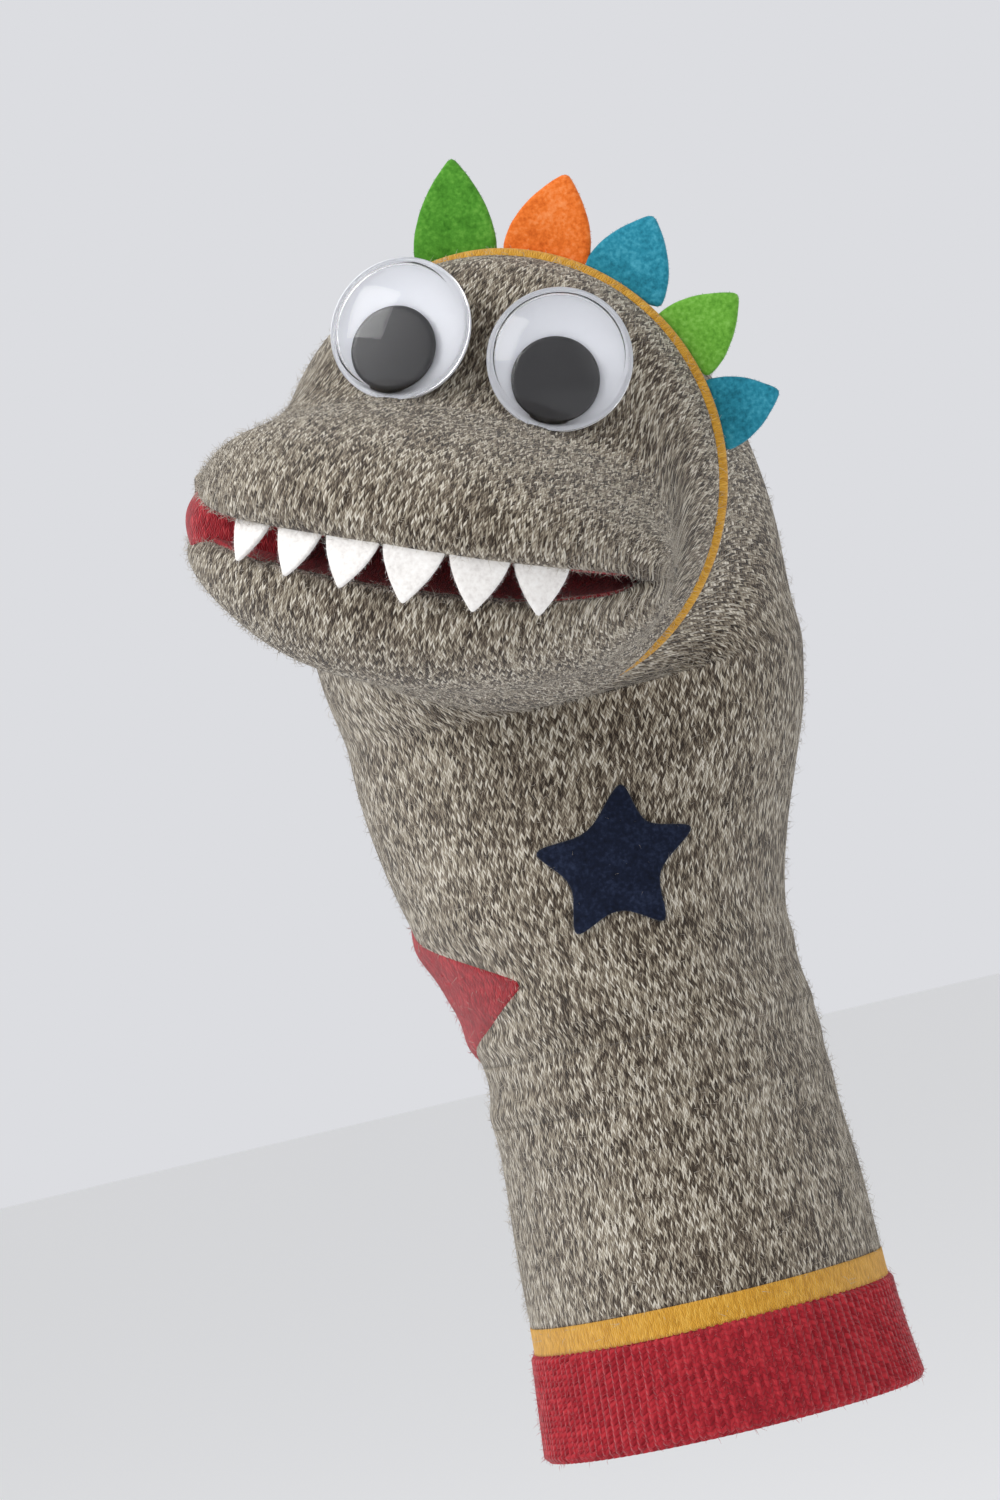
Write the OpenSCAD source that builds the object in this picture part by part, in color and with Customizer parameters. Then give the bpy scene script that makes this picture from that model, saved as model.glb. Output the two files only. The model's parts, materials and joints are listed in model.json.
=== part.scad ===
// Sock puppet, to be worn on a hand. Millimetres. The forearm runs up Z from the middle of the cuff's
// opening, and the puppet looks along -Y with its head cocked to one side.

/* [Cuff and leg] */
// Inner radius of the ribbed cuff, the opening for the hand
cuff_r = 29.5; // [27:0.5:36]
// Thickness of the doubled rib
cuff_wall = 2.5; // [1.6:0.1:3]
// Height of the ribbed cuff
cuff_h = 19; // [12:0.5:30]
// Height of the band above the rib
band_h = 4.7; // [3:0.1:8]
// Thickness of the knit
knit = 1.6; // [1.2:0.1:2]

/* [Wrist and neck] */
// Height of the wrist's centre above the cuff's edge
wrist_z = 64; // [56:1:78]
// Height of the throat, under the chin
throat_z = 129; // [120:1:145]
// Half the width of the neck below the chin
neck_half_w = 40; // [35:0.5:46]

/* [Head] */
// Radius of the knit round the head, behind the eyes
head_r = 39; // [34:0.5:45]
// Angle at which the head is cocked to its left
head_tilt = 24; // [0:1:30]
// Half the width of the mouth, corner to corner
mouth_half_w = 41; // [36:0.5:46]
// How far the upper lip stands in front of the mouth's corners
lip_reach = 33; // [28:0.5:40]
// Width of the stripe round the head
stripe_w = 1.9; // [1.2:0.1:3]
// How far the jaw hangs open at rest
jaw_open = 15; // [13:1:20]

/* [Felt] */
// Thickness of the felt
felt = 1.2; // [0.8:0.1:1.6]
// Length of a tooth
tooth_len = 9.5; // [6:0.5:11]
// Width of a tooth
tooth_w = 9.4; // [6:0.2:9.8]
// Distance from tooth to tooth
tooth_pitch = 10; // [9.8:0.1:10.6]
// Length of the longest spike
spike_len = 18.5; // [14:0.5:24]
// Radius of the star, to its points
star_r = 14.2; // [10:0.2:17]

/* [Eyes] */
// Diameter of an eye
eye_d = 25; // [18:0.5:27]
// Diameter of a pupil
pupil_d = 15; // [9:0.5:16]
// Distance between the middles of the eyes
eye_pitch = 28; // [27.5:0.5:32]

/* [Hidden] */
$fn = 64;
SIDES = 32;         // flats round a knitted sleeve
gap = 0.3;          // soft pieces keep this far apart

leg_r = cuff_r + 0.4;
leg_short = 5.5;                    // the leg stops this far below the wrist's centre, clear of the neck
leg_top = wrist_z - leg_short;
wrist_r = leg_r - gap;              // outer radius of the wrist's ball-shaped stretch
neck_ball_r = wrist_r - knit - gap; // outer radius of the neck where it nests in the wrist
nest_angle = 28;                    // how far the nested stretches reach round the wrist's centre

ring_y = -22;                       // plane of the stripe round the head
pivot_gap = 2;                      // the neck fans round a line this far below the throat
head_z = throat_z + pivot_gap + head_r;
mouth_drop = 14;                    // mouth's corners below the middle of the head
corner_y = -28;                     // mouth's corners in front of the stripe

marl = [0.55, 0.52, 0.47];
red = [0.66, 0.13, 0.17];
mustard = [0.88, 0.66, 0.23];
spike_colours = [[0.30, 0.56, 0.18], [0.89, 0.44, 0.18], [0.17, 0.53, 0.63],
                 [0.43, 0.66, 0.23], [0.17, 0.53, 0.63]];

// ---- sleeves: rings of points joined into one closed wall ----

// Points of a ring: half width a, half depth b, its plane leant by fan from level
function ring(cy, cz, a, b, fan) =
    [for (i = [0:SIDES - 1]) let (t = 360 * i / SIDES)
        [a * cos(t), cy + b * sin(t) * cos(fan), cz + b * sin(t) * sin(fan)]];

// The same points turned about the head's fore-and-aft line
function cocked(points, turn) =
    [for (p = points) [p.x * cos(turn) + (p.z - head_z) * sin(turn), p.y,
                       head_z - p.x * sin(turn) + (p.z - head_z) * cos(turn)]];

// Wall through rows of points, each a closed loop. A wall that isn't round shut gets an end cap on its
// first and last row, laid between the loop's first half and its second half.
module wall(rows, round_shut = true) {
    n = len(rows);
    m = len(rows[0]);
    end = (n - 1) * m;
    polyhedron(
        points = [for (row = rows) each row],
        faces = concat(
            [for (j = [0:n - (round_shut ? 1 : 2)], i = [0:m - 1]) each
                let (k = (j + 1) % n, l = (i + 1) % m)
                [[j * m + i, k * m + l, j * m + l], [j * m + i, k * m + i, k * m + l]]],
            round_shut ? [] : [for (i = [0:m / 2 - 2]) each
                [[i, i + 1, m - 2 - i], [i, m - 2 - i, m - 1 - i]]],
            round_shut ? [] : [for (i = [0:m / 2 - 2]) each
                [[end + i, end + m - 2 - i, end + i + 1], [end + i, end + m - 1 - i, end + m - 2 - i]]]));
}

module tube(r, wall, z0, z1) {
    translate([0, 0, z0]) difference() {
        cylinder(r = r + wall, h = z1 - z0);
        translate([0, 0, -1]) cylinder(r = r, h = z1 - z0 + 2);
    }
}

module cuff() {
    color(red) tube(cuff_r, cuff_wall, 0, cuff_h);
}

module cuff_band() {
    color(mustard) tube(leg_r, knit, cuff_h, cuff_h + band_h);
}

module leg_sleeve() {
    color(marl) tube(leg_r, knit, cuff_h + band_h, leg_top);
}

// A band of a hollow ball, inside the top of the leg
module wrist_sleeve() {
    color(marl) translate([0, 0, wrist_z]) rotate_extrude() polygon(concat(
        [for (t = [-nest_angle:4:0]) wrist_r * [cos(t), sin(t)]],
        [for (t = [0:-4:-nest_angle]) (wrist_r - knit) * [cos(t), sin(t)]]));
}

// Each row: middle's y and z, half width, half depth, lean of the plane, turn about the head
neck_front_y = ring_y + pivot_gap;
fan_rows = [[0, neck_half_w, 27, 0], [22.5, neck_half_w + 1, 29, 5], [45, neck_half_w + 1, 33, 11],
            [67.5, (neck_half_w + head_r) / 2, 37, 18], [90, head_r, head_r, head_tilt]];
neck_rows = concat(
    [for (t = [-nest_angle:nest_angle / 2:nest_angle])
        [0, wrist_z + neck_ball_r * sin(t), neck_ball_r * cos(t), neck_ball_r * cos(t), 0, 0]],
    [[0, wrist_z + 19, 29.5, 28, 0, 0],
     [1.5, wrist_z + (throat_z - wrist_z) * 0.5, (neck_half_w + 29) / 2, 28, 0, 0],
     [4, wrist_z + (throat_z - wrist_z) * 0.75, neck_half_w - 2, 27.5, 0, 0]],
    [for (f = fan_rows) let (reach = pivot_gap + f[2])
        [ring_y + reach * cos(f[0]), throat_z + reach * sin(f[0]), f[1], f[2], f[0], f[3]]]);

function neck_ring(row, inset) =
    cocked(ring(row[0], row[1], row[2] - inset, row[3] - inset, row[4]), row[5]);

module neck_sleeve() {
    last = len(neck_rows) - 1;
    color(marl) wall(concat(
        [for (i = [0:last]) neck_ring(neck_rows[i], 0)],
        [for (i = [last:-1:0]) neck_ring(neck_rows[i], knit)]));
}

// Half width, half depth and middle of the neck at a height below the throat
function neck_at(z, k) = lookup(z, [for (i = [5:8]) [neck_rows[i][1], neck_rows[i][k]]]);

// A pointed lens of knit wrapped half round the neck, from its front tip at heel_start
heel_start = 23;
heel_z = wrist_z + 27;
heel_half_h = 11;
heel_out = 0.5;      // clear of the neck's flats
heel_t = 0.8;
function heel_point(angle, rise, out) =
    let (z = heel_z + rise * heel_half_h * (1 - abs(angle - heel_start - 90) / 90))
    [-(neck_at(z, 2) + out) * sin(angle), neck_at(z, 0) - (neck_at(z, 3) + out) * cos(angle), z];

module heel_patch() {
    step = 8;
    color(red) wall([for (a = [heel_start + 6:step:heel_start + 174])
        [for (rise = [1, 0, -1]) heel_point(a, rise, heel_out), for (rise = [-1, 0, 1])
            heel_point(a, rise, heel_out + heel_t)]], false);
}

module star() {
    stand_off = 28.3;
    color([0.09, 0.12, 0.19]) translate([0, 0.5, wrist_z + 36.2]) rotate([90, 0, 17])
        translate([0, 0, stand_off]) linear_extrude(felt) polygon([for (i = [0:9])
            star_r * (i % 2 == 0 ? 1 : 0.47) * [sin(36 * i), cos(36 * i)]]);
}

// ---- head: its own frame has the middle of the stripe at the origin ----

module in_head() {
    translate([0, ring_y, head_z]) rotate([0, head_tilt, 0]) children();
}

module head_stripe() {
    color(mustard) in_head() rotate([90, 0, 0]) difference() {
        cylinder(r = head_r, h = stripe_w);
        translate([0, 0, -1]) cylinder(r = head_r - knit, h = stripe_w + 2);
    }
}

// Arches of the upper head behind the mouth's corners: how far forward, height above the middle
k_head = head_r / 39;
brow = [[stripe_w, 39], [7, 38.3], [12, 35], [15.5, 29], [18, 21.5], [21, 14.5], [-corner_y, 10]];
// Slices of the snout, turned about the line through the mouth's corners: angle, reach from that line
snout = [[106, 0.74], [124, 0.8], [142, 0.9], [156, 0.97], [167, 1.015], [176, 1]];
jaw = [[184, 0.9], [190, 0.91], [197, 0.925], [205, 0.97], [214, 0.98], [226, 0.9], [240, 0.82],
       [256, 0.77], [272, 0.75], [285, 0.75]];

ARCH = 20;          // flats over an arch
arch_start = 7;     // arches stop this far short of the corners
function arch_angles() = [for (i = [0:ARCH]) arch_start + (180 - 2 * arch_start) * i / ARCH];

// Arch in an upright plane: half width w and height top over the mouth's line
function upright_arch(forward, w, top) =
    [for (t = arch_angles()) [w * cos(t), -forward, -mouth_drop + (top + mouth_drop) * sin(t)]];

// Arch in a plane through the corners, turned to angle
function slice_arch(angle, w, reach) =
    [for (t = arch_angles()) [w * cos(t), corner_y + reach * sin(t) * cos(angle),
                              -mouth_drop + reach * sin(t) * sin(angle)]];

function backwards(list) = [for (i = [len(list) - 1:-1:0]) list[i]];

module head_top() {
    color(marl) in_head() wall(concat(
        [for (b = brow) concat(
            upright_arch(b[0], arch_w(b[0]), b[1] * k_head),
            backwards(upright_arch(b[0], arch_w(b[0]) - knit, b[1] * k_head - knit)))],
        [for (s = snout) concat(
            slice_arch(s[0], mouth_half_w, s[1] * lip_reach),
            backwards(slice_arch(s[0], mouth_half_w - knit, s[1] * lip_reach - knit)))]), false);
}

function arch_w(forward) = lookup(forward, [[0, head_r], [-corner_y, mouth_half_w]]);

module lower_jaw() {
    color(marl) in_head() open_jaw() wall([for (s = jaw) concat(
        slice_arch(s[0], mouth_half_w - 0.8, s[1] * lip_reach),
        backwards(slice_arch(s[0], mouth_half_w - 0.8 - knit, s[1] * lip_reach - knit)))], false);
}

// Turns what is drawn with the mouth shut to how the jaw hangs at rest
module open_jaw() {
    translate([0, corner_y, -mouth_drop]) rotate([jaw_open, 0, 0])
        translate([0, -corner_y, mouth_drop]) children();
}

// Half an oval with its straight side across the corners
module half_oval(w, reach) {
    polygon([for (t = [180:7.5:360]) [w * cos(t), reach * sin(t)]]);
}

roll_r = 1.9;       // rolled fold between roof and floor of the mouth

module mouth_roof() {
    w = mouth_half_w - knit - gap;
    reach = lip_reach - knit - gap - 0.4;
    color(red) in_head() translate([0, corner_y, -mouth_drop]) intersection() {
        linear_extrude(knit) half_oval(w, reach);
        translate([-w, -reach, -1]) cube([2 * w, reach - roll_r - gap, knit + 2]);
    }
}

module mouth_floor() {
    w = mouth_half_w - 0.8 - knit - gap;
    reach = 0.9 * lip_reach - knit - gap - 0.4;
    color(red) in_head() open_jaw() translate([0, corner_y, -mouth_drop]) {
        translate([0, 0, -roll_r]) linear_extrude(roll_r - gap) half_oval(w, reach);
        translate([-w + 4, 0, 0]) rotate([0, 90, 0]) cylinder(r = roll_r, h = 2 * w - 8);
    }
}

// ---- felt ----

// A leaf: two bowed sides from a straight base to a point
function leaf(w, h) = concat(
    [for (u = [0:0.125:0.875]) [w / 2 * (1 - pow(u, 1.6)) * (1 + 0.35 * u), h * u]], [[0, h]],
    [for (u = [0.875:-0.125:0]) [-w / 2 * (1 - pow(u, 1.6)) * (1 + 0.35 * u), h * u]]);

// Tooth i hangs under the lip, turned to follow the lip's curve
module tooth(i) {
    x = (i - 3.85) * tooth_pitch;
    a = mouth_half_w - 1;
    b = lip_reach - 0.9;
    y = -b * sqrt(1 - pow(x / a, 2));
    turn = atan2(b * b * x, -a * a * y);
    color("white") in_head() translate([x, corner_y + y, -mouth_drop - gap]) rotate([0, 0, turn])
        rotate([-90, 0, 0]) linear_extrude(felt) polygon(leaf(tooth_w, tooth_len));
}

// Spike i stands on the crown behind the stripe: place round the head, lean, length, width
spikes = [[-23, -14, 1, 15], [0.5, 2.5, 0.97, 15.5], [22, 13, 0.8, 15], [43.5, 36, 0.74, 14.5],
          [63, 58, 0.6, 13]];

module spike(i) {
    s = spikes[i - 1];
    lean = s[1] - s[0];
    w = s[3] * 0.93;
    lift = gap + max(0, w / 2 * sin(abs(lean)) - w * w / (8 * head_r));
    color(spike_colours[i - 1]) in_head() translate([0, 1 + felt, 0]) rotate([0, s[0], 0])
        translate([0, 0, head_r + lift]) rotate([0, lean, 0])
        rotate([90, 0, 0]) linear_extrude(felt) polygon(leaf(w, spike_len * s[2]));
}

// ---- eyes ----

eye_back_h = 1.1;
shell = 0.6;
pupil_h = 0.8;
pupil_gap = 0.3;
wall_h = eye_back_h + pupil_h + 3 * pupil_gap;
dome_rise = 2.6;

module at_eye(side) {
    x = (side == "left" ? 1 : -1) * eye_pitch / 2;
    in_head() translate([x, -22.2, 23.5 * k_head]) rotate([0, 0, x > 0 ? 9 : -9]) rotate([76, 0, 0])
        children();
}

module eye_back(side) {
    color([0.85, 0.86, 0.9]) at_eye(side) cylinder(r = eye_d / 2, h = eye_back_h);
}

module pupil(side) {
    at_eye(side) color([0.1, 0.1, 0.11]) translate([0, -(eye_d - pupil_d) / 2 + shell + 0.7,
        eye_back_h + pupil_gap]) cylinder(r = pupil_d / 2, h = pupil_h);
}

// Ring wall with a shallow cap blown over it
module dome(side) {
    r = eye_d / 2;
    cap_r = (r * r + dome_rise * dome_rise) / (2 * dome_rise);
    color([0.9, 0.94, 0.97, 0.4]) at_eye(side) translate([0, 0, eye_back_h]) rotate_extrude() polygon(concat(
        [[r - shell, 0], [r, 0]],
        [for (i = [0:8]) let (x = r * (1 - i / 8)) [x, wall_h - eye_back_h + cap(x, cap_r, r)]],
        [for (i = [8:-1:0]) let (x = (r - shell) * (1 - i / 8))
            [x, wall_h - eye_back_h - shell + cap(x, cap_r, r)]]));
}

function cap(x, cap_r, r) = sqrt(cap_r * cap_r - x * x) - sqrt(cap_r * cap_r - r * r);

cuff();
cuff_band();
leg_sleeve();
wrist_sleeve();
neck_sleeve();
heel_patch();
head_stripe();
head_top();
lower_jaw();
mouth_roof();
mouth_floor();
star();
for (i = [1:6]) tooth(i);
for (i = [1:5]) spike(i);
for (side = ["left", "right"]) {
    eye_back(side);
    pupil(side);
    dome(side);
}
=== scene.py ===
# %% [markdown]
# # A sock puppet
# A knitted sock is pulled over a hand. The toe is tucked in between fingers and thumb to make a mouth, and
# felt and two googly eyes are glued on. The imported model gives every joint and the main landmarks. This
# script makes the skins that are seen: each is a surface worked out on a grid, with a material for what
# it is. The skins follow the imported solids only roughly, most of all at the jaw, heel, mouth and star.

# %% Load the frame and keep its box
import json
import math

import bpy
import numpy as np
from mathutils import Matrix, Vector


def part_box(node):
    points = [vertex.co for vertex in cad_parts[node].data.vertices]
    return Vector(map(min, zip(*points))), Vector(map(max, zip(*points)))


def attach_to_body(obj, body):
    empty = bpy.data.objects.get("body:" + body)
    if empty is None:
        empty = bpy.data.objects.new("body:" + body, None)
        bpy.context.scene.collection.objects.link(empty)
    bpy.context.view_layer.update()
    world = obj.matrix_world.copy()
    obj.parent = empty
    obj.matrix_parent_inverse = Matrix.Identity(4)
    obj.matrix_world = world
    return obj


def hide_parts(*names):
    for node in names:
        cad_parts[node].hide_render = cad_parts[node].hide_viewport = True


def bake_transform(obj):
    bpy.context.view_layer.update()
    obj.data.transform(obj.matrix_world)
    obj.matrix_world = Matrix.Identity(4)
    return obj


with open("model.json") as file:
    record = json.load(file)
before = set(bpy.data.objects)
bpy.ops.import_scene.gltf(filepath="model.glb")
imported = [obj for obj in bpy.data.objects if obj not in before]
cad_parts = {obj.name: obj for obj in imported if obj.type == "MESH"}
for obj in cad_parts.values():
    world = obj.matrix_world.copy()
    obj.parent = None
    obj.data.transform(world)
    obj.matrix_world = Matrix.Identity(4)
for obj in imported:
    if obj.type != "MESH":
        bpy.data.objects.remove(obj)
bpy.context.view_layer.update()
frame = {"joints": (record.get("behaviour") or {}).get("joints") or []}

# %% [markdown]
# ## Reading the sizes off the frame
# The cuff, the wrist, the stripe round the head, the eyes and the mouth's hinge lie where the packed
# nodes and joints say. The rest is typed in below for this one size, such as the sock's sections, the
# mouth's width and reach, and the small shifts of the skins off their solids. A part packed again at
# another size would need those values changed as well.

# %% Landmarks, in millimetres
def box_mm(name):
    """A node's lowest and highest corners in millimetres."""
    low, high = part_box(name)
    return np.array(low) * 1000, np.array(high) * 1000


JOINTS = {j["name"]: j for j in frame["joints"]}
CUFF_TOP = box_mm("cuff")[1][2]
BAND_TOP = box_mm("cuff_band")[1][2]
WRIST_Z = JOINTS["wrist_nod"]["pos_m"][2] * 1000
stripe_low, stripe_high = box_mm("head_stripe")
HEAD_R = (stripe_high[0] - stripe_low[0]) / 2
RING_Y = stripe_high[1]
HEAD_Z = (stripe_low[2] + stripe_high[2]) / 2
HINGE = np.array(JOINTS["jaw_hinge"]["pos_m"]) * 1000
hinge_axis = JOINTS["jaw_hinge"]["axis"]
TILT = math.atan2(-hinge_axis[2], hinge_axis[0])
CORNER_F = RING_Y - HINGE[1]
MOUTH_DROP = (HEAD_Z - HINGE[2]) / math.cos(TILT)
THROAT_Z = HEAD_Z - HEAD_R - 2
print("wrist", round(WRIST_Z), "head radius", round(HEAD_R, 1), "cocked", round(math.degrees(TILT)),
      "corners", round(CORNER_F, 1), "in front and", round(MOUTH_DROP, 1), "below the middle")

# %% [markdown]
# ## Grids into meshes
# Each skin is an array of points, rows by columns. One function joins the grid into quads, gives it a
# second, inner skin and closes the rims between them, so every piece of knit is a solid wall. Texture
# coordinates are kept in metres. Round the sleeve a stitch widens with the sock, as stretched knit does.

# %% Grid helpers
MM = 0.001


def through(keys, values, at):
    """Smooth curve through chosen points: a cubic piece between each pair, whose slope at a point is the
    mean of the slopes on its two sides, or level where those two differ in sign."""
    keys, values, at = (np.asarray(a, float) for a in (keys, values, at))
    slope = np.diff(values) / np.diff(keys)
    m = np.concatenate([slope[:1], (slope[:-1] + slope[1:]) / 2, slope[-1:]])
    m[1:-1][slope[:-1] * slope[1:] <= 0] = 0
    i = np.clip(np.searchsorted(keys, at) - 1, 0, len(keys) - 2)
    h = keys[i + 1] - keys[i]
    t = np.clip((at - keys[i]) / h, 0, 1)
    return ((2 * t**3 - 3 * t**2 + 1) * values[i] + (t**3 - 2 * t**2 + t) * h * m[i]
            + (3 * t**2 - 2 * t**3) * values[i + 1] + (t**3 - t**2) * h * m[i + 1])


def ease(t):
    """Smooth step: 0 below 0, 1 above 1, and 3t^2 - 2t^3 between."""
    t = np.clip(t, 0, 1)
    return t * t * (3 - 2 * t)


def cocked(p, turn):
    """Points turned about the head's fore-and-aft line by an angle."""
    x, z = p[..., 0], p[..., 2] - HEAD_Z
    c, s = np.cos(turn), np.sin(turn)
    return np.stack([x * c + z * s, p[..., 1], HEAD_Z - x * s + z * c], -1)


def from_head(x, forward, up):
    """Head frame to the part's: x to the puppet's left, forward of the stripe, up from its middle."""
    x, forward, up = np.broadcast_arrays(x, forward, up)
    return cocked(np.stack([x, RING_Y - forward, HEAD_Z + up], -1), TILT)


def normals(p, shut):
    """Unit normals of a grid: the cross product of its two centred differences."""
    if shut:
        du = np.roll(p, -1, 1) - np.roll(p, 1, 1)
    else:
        du = np.gradient(p, axis=1)
    n = np.cross(du, np.gradient(p, axis=0))
    return n / np.maximum(np.linalg.norm(n, axis=-1, keepdims=True), 1e-9)


def quads(rows, cols, shut, start=0, flip=False):
    """Corner numbers of a grid's quads, row by row."""
    j, i = np.meshgrid(np.arange(rows - 1), np.arange(cols if shut else cols - 1), indexing="ij")
    a = j * cols + i
    b = j * cols + (i + 1) % cols
    q = np.stack([a, b, b + cols, a + cols], -1).reshape(-1, 4) + start
    return q[:, ::-1] if flip else q


def add_piece(name, points_mm, faces, *finishes):
    """A smooth mesh object at the origin, with its place in its mesh and its finishes in its slots."""
    mesh = bpy.data.meshes.new(name)
    mesh.from_pydata((points_mm * MM).tolist(), [], faces)
    mesh.polygons.foreach_set("use_smooth", np.full(len(mesh.polygons), True))
    for finish in finishes:
        mesh.materials.append(finish)
    mesh.update()
    piece = bpy.data.objects.new(name, mesh)
    bpy.context.scene.collection.objects.link(piece)
    return piece


def wall_arrays(p, thick, shut, uv):
    """Outer grid, inner grid set in along the normals, and the rims between them."""
    rows, cols = p.shape[:2]
    n = normals(p, shut)
    inner = p - n * np.broadcast_to(thick, p.shape[:2])[..., None]
    size = rows * cols
    ids = np.arange(size).reshape(rows, cols)
    faces = [quads(rows, cols, shut), quads(rows, cols, shut, size, True)]

    def rim(line, flip):
        a, b = (line, np.roll(line, -1)) if shut else (line[:-1], line[1:])
        q = np.stack([b, a, a + size, b + size], -1)
        return q[:, ::-1] if flip else q
    faces += [rim(ids[0], False), rim(ids[-1], True)]
    if not shut:
        for line, flip in ((ids[:, 0], True), (ids[:, -1], False)):
            q = np.stack([line[1:], line[:-1], line[:-1] + size, line[1:] + size], -1)
            faces.append(q[:, ::-1] if flip else q)
    points = np.concatenate([p.reshape(-1, 3), inner.reshape(-1, 3)])
    return points, np.concatenate(faces), np.concatenate([uv.reshape(-1, 2)] * 2), n


def lengths(p, axis):
    """Distance run along one axis of a grid of points, from its first row or column."""
    d = np.linalg.norm(np.diff(p, axis=axis), axis=-1)
    zero = np.zeros_like(np.take(d, [0], axis))
    return np.cumsum(np.concatenate([zero, d], axis), axis)


print("grid helpers ready")

# %% [markdown]
# ## Materials
# One small function adds a node with its settings and links. Colours are written as sRGB hex and turned
# to linear in one place. The knit is drawn from the skin's own texture coordinates: chevrons about as
# big as a fine stitch, each leg with its own tone, because a marled yarn is two strands of different shade
# twisted together.
# The legs are also painted lighter where they stand high and darker in the grooves between them, as painted
# shade.

# %% Material helpers
def linear(code):
    """An sRGB hex colour as linear red, green and blue, by the sRGB curve."""
    v = np.array([int(code[i:i + 2], 16) for i in (1, 3, 5)]) / 255
    v = np.where(v <= 0.04045, v / 12.92, ((v + 0.055) / 1.055) ** 2.4)
    return (*[float(x) for x in v], 1.0)


def node(tree, kind, links=None, **settings):
    """Adds a node. Settings named in_X set its inputs by name or number; links give what feeds them."""
    n = tree.nodes.new(kind)
    for key, value in settings.items():
        if not key.startswith("in_"):
            setattr(n, key, value)
    for key, value in settings.items():
        if key.startswith("in_"):
            key = key[3:].replace("_", " ")
            n.inputs[int(key) if key.isdigit() else key].default_value = value
    for key, source in (links or {}).items():
        tree.links.new(source, n.inputs[key])
    return n


def material(name, roughness, **principled):
    """A new material with a Principled shader. Returns it, its tree and the shader."""
    m = bpy.data.materials.new(name)
    m.use_nodes = True
    shader = m.node_tree.nodes["Principled BSDF"]
    shader.inputs["Roughness"].default_value = roughness
    for key, value in principled.items():
        shader.inputs[key.replace("_", " ")].default_value = value
    return m, m.node_tree, shader


def sums(tree, operation, a, b=None, c=None):
    """A Math node on up to three sockets or numbers."""
    n = node(tree, "ShaderNodeMath", operation=operation)
    for i, v in enumerate((a, b, c)):
        if v is None:
            continue
        if isinstance(v, (int, float)):
            n.inputs[i].default_value = v
        else:
            tree.links.new(v, n.inputs[i])
    return n.outputs[0]


def ramp(tree, fac, stops):
    """A colour ramp through (place, hex) stops."""
    n = node(tree, "ShaderNodeValToRGB", {0: fac})
    for end in (0, -1):
        n.color_ramp.elements[end].position = stops[end][0]
        n.color_ramp.elements[end].color = linear(stops[end][1])
    for place, code in stops[1:-1]:
        n.color_ramp.elements.new(place).color = linear(code)
    return n.outputs[0]


WALE_MM, COURSE_MM = 0.86, 0.9     # one stitch of the plain knit, across and up
RIB_WALE_MM = 1.55                 # one ridge of the cuff's rib
# Shares of a stitch's colour: its leg's own tone, fine fibre, broad patches, its height as painted shade;
# and the middle
TONE, FINE, PATCH, GROOVE_SHADE, SHADE_MID = 0.42, 0.5, 0.2, 0.16, 0.64


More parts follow.
